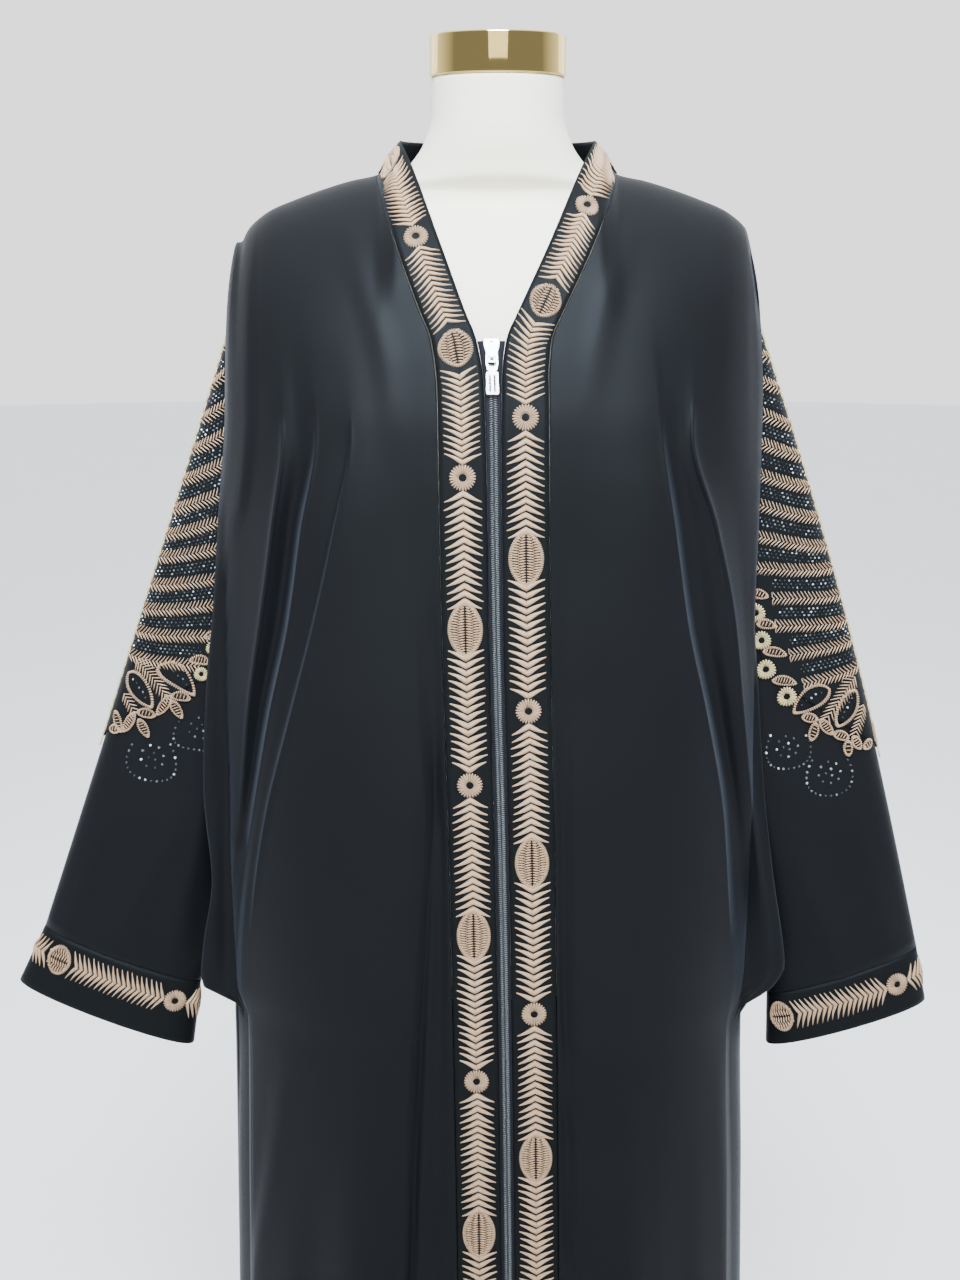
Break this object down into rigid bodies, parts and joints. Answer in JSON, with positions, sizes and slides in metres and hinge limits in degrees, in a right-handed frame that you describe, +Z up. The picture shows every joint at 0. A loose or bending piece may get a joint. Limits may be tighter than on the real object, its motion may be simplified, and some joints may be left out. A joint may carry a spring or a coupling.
{
  "type": "abaya cloak on limbless dress form",
  "caption": "Long zip-front abaya cloak with embroidered bands and wide sleeves, resting on a limbless dress form.",
  "frame": {"origin": "centre of the underside of the form's round base", "axes": "+Z up, -Y towards the front of the garment, +X towards the wearer's left"},
  "size_m": [0.8505, 0.33, 1.5685],
  "materials": {
    "cloth": "soft satin crepe",
    "embroidery": "dark ground with satin thread",
    "tape": "woven tape",
    "zip_metal": "polished",
    "linen": "plain linen",
    "gold": "mirror polished",
    "stand": "satin"
  },
  "bodies": {
    "garment": {"front_left": "cloth", "front_right": "cloth", "back": "cloth", "sleeve_left": "cloth", "sleeve_right": "cloth", "collar": "cloth", "band_left": "embroidery", "band_right": "embroidery", "cuff_left": "embroidery", "cuff_right": "embroidery", "applique_left": "embroidery", "applique_right": "embroidery", "zip_tape_left": "tape", "zip_tape_right": "tape", "zip_chain": "tape", "zip_slider": "zip_metal", "form_torso": "linen", "form_cap": "gold", "form_pole": "stand", "form_base": "stand"},
    "pull": {"zip_pull": "zip_metal"}
  },
  "joints": [
    {"name": "pull_hinge", "type": "hinge", "parent": "garment", "child": "pull", "pos_m": [0.00035, -0.13952, 1.31269], "axis": [-1, 0, 0], "range_deg": [0, 150]}
  ]
}
